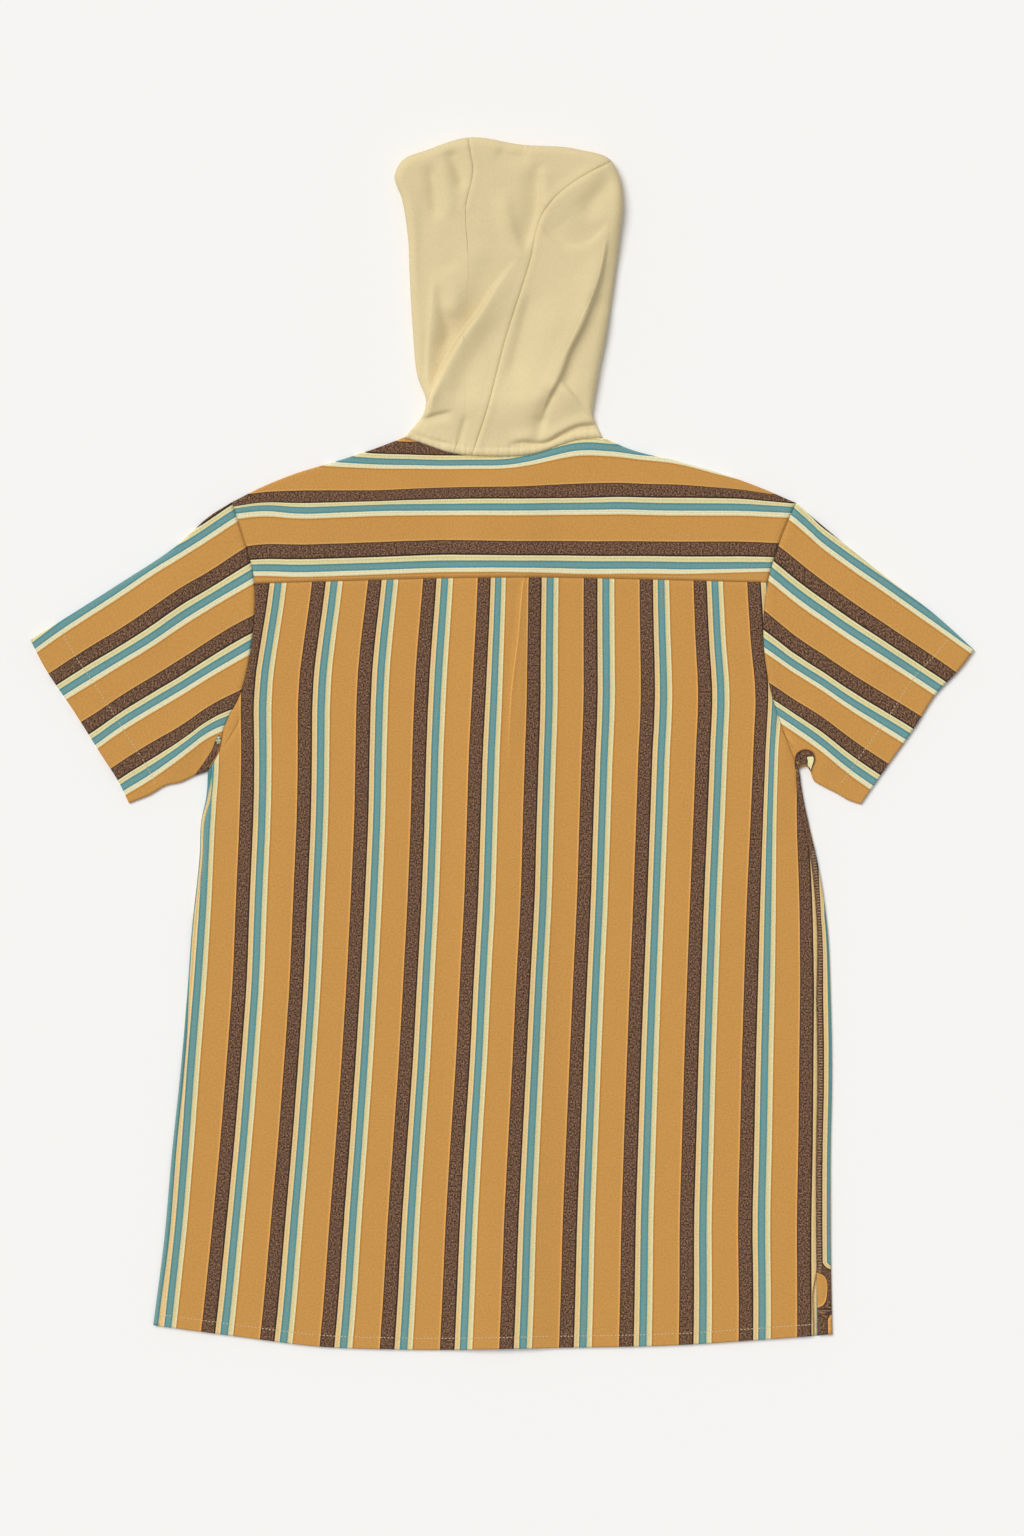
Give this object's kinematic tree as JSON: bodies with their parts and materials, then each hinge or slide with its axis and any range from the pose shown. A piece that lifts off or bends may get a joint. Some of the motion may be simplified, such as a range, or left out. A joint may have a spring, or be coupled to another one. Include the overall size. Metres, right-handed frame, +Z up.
{
  "type": "hooded shirt laid flat",
  "caption": "Short-sleeved striped shirt with a plain hood, laid out flat with its back up, hood spread upwards.",
  "frame": {"origin": "middle of the shirt's outline, on the surface that it lies on", "axes": "+X to the right sleeve as seen from above, +Y from the hem to the hood, +Z up from the surface"},
  "size_m": [0.8209, 1.0542, 0.0224],
  "materials": {
    "striped_cloth": "matte woven cotton with ochre, brown, cream and teal stripes",
    "hood_cloth": "matte brushed beige cotton",
    "button": "semi-gloss dark horn colour"
  },
  "bodies": {
    "root": {"back_panel": "striped_cloth", "yoke": "striped_cloth", "sleeve_left": "striped_cloth", "sleeve_right": "striped_cloth", "front_left": "striped_cloth", "front_right": "striped_cloth", "hood_center": "hood_cloth", "hood_side_left": "hood_cloth", "hood_side_right": "hood_cloth", "hood_under_layers": "hood_cloth", "button_1": "button", "button_2": "button", "button_3": "button", "button_4": "button", "button_5": "button", "button_6": "button"}
  },
  "joints": []
}
